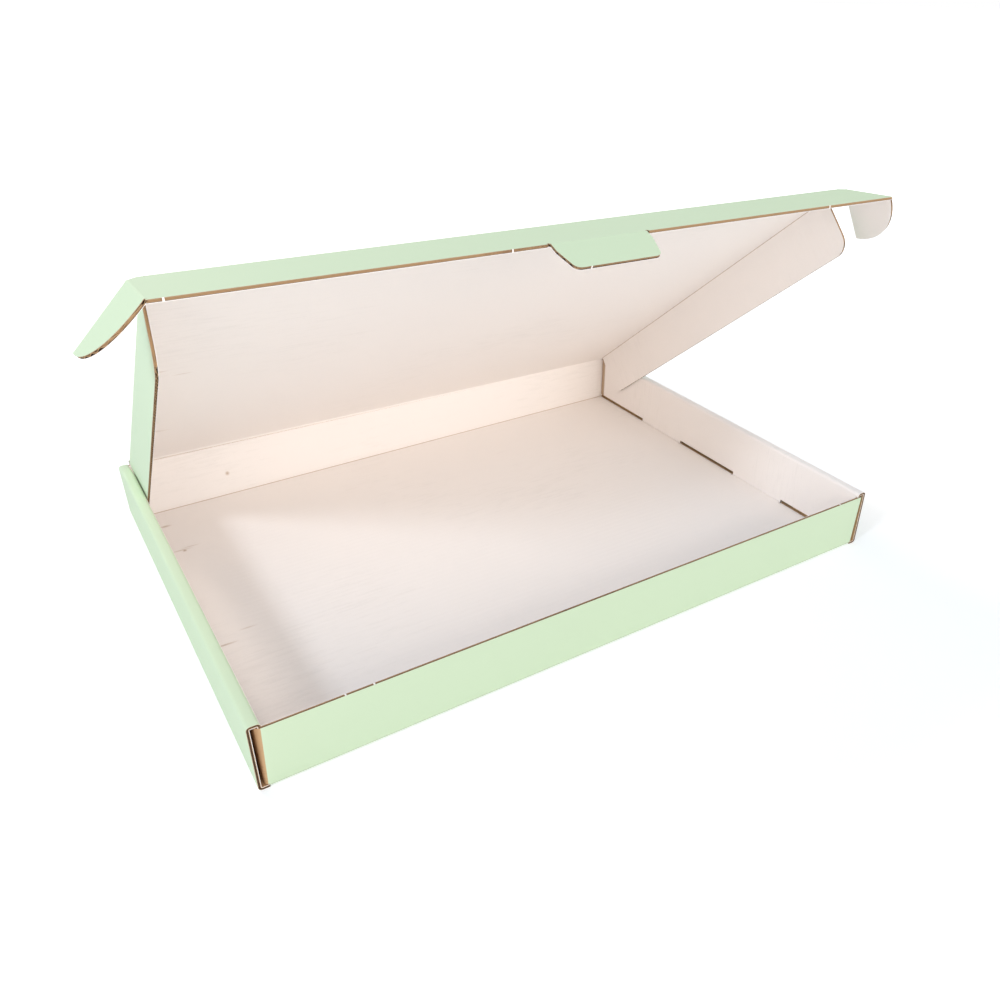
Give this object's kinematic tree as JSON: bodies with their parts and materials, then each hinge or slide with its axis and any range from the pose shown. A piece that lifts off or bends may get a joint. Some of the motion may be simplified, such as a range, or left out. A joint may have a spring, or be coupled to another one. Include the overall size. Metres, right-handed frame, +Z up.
{
  "type": "letterbox mailer box",
  "caption": "Shallow letterbox mailer folded from one sheet of fine-flute board, with rolled side walls and a hinged lid that tucks over the front.",
  "frame": {"origin": "centre of the tray's underside, on the surface it stands on", "axes": "+X right along the front wall, +Y from the front wall to the hinge, +Z up"},
  "size_m": [0.3623, 0.237, 0.1813],
  "materials": {
    "board": "matt printed board"
  },
  "bodies": {
    "tray": {"tray": "board"},
    "lid": {"lid": "board"},
    "tuck_flap": {"tuck_flap": "board"},
    "tuck_tab": {"tuck_tab": "board"},
    "left_ear": {"left_ear": "board"},
    "right_ear": {"right_ear": "board"}
  },
  "joints": [
    {"name": "lid_hinge", "type": "hinge", "parent": "tray", "child": "lid", "pos_m": [0, 0.11785, 0.031], "axis": [-1, 0, 0], "range_deg": [-38.6, 141.4]},
    {"name": "tuck_hinge", "type": "hinge", "parent": "lid", "child": "tuck_flap", "pos_m": [0, -0.06776, 0.17917], "axis": [-1, 0, 0], "range_deg": [-54.2, 35.8]},
    {"name": "tab_hinge", "type": "hinge", "parent": "tuck_flap", "child": "tuck_tab", "pos_m": [0, -0.09832, 0.18067], "axis": [1, 0, 0], "range_deg": [-26, 64]},
    {"name": "left_ear_hinge", "type": "hinge", "parent": "tuck_flap", "child": "left_ear", "pos_m": [-0.16395, -0.06776, 0.17917], "axis": [0, 0.9988, -0.0488], "range_deg": [-45, 45]},
    {"name": "right_ear_hinge", "type": "hinge", "parent": "tuck_flap", "child": "right_ear", "pos_m": [0.16395, -0.06776, 0.17917], "axis": [0, -0.9988, 0.0488], "range_deg": [-30, 60]}
  ]
}
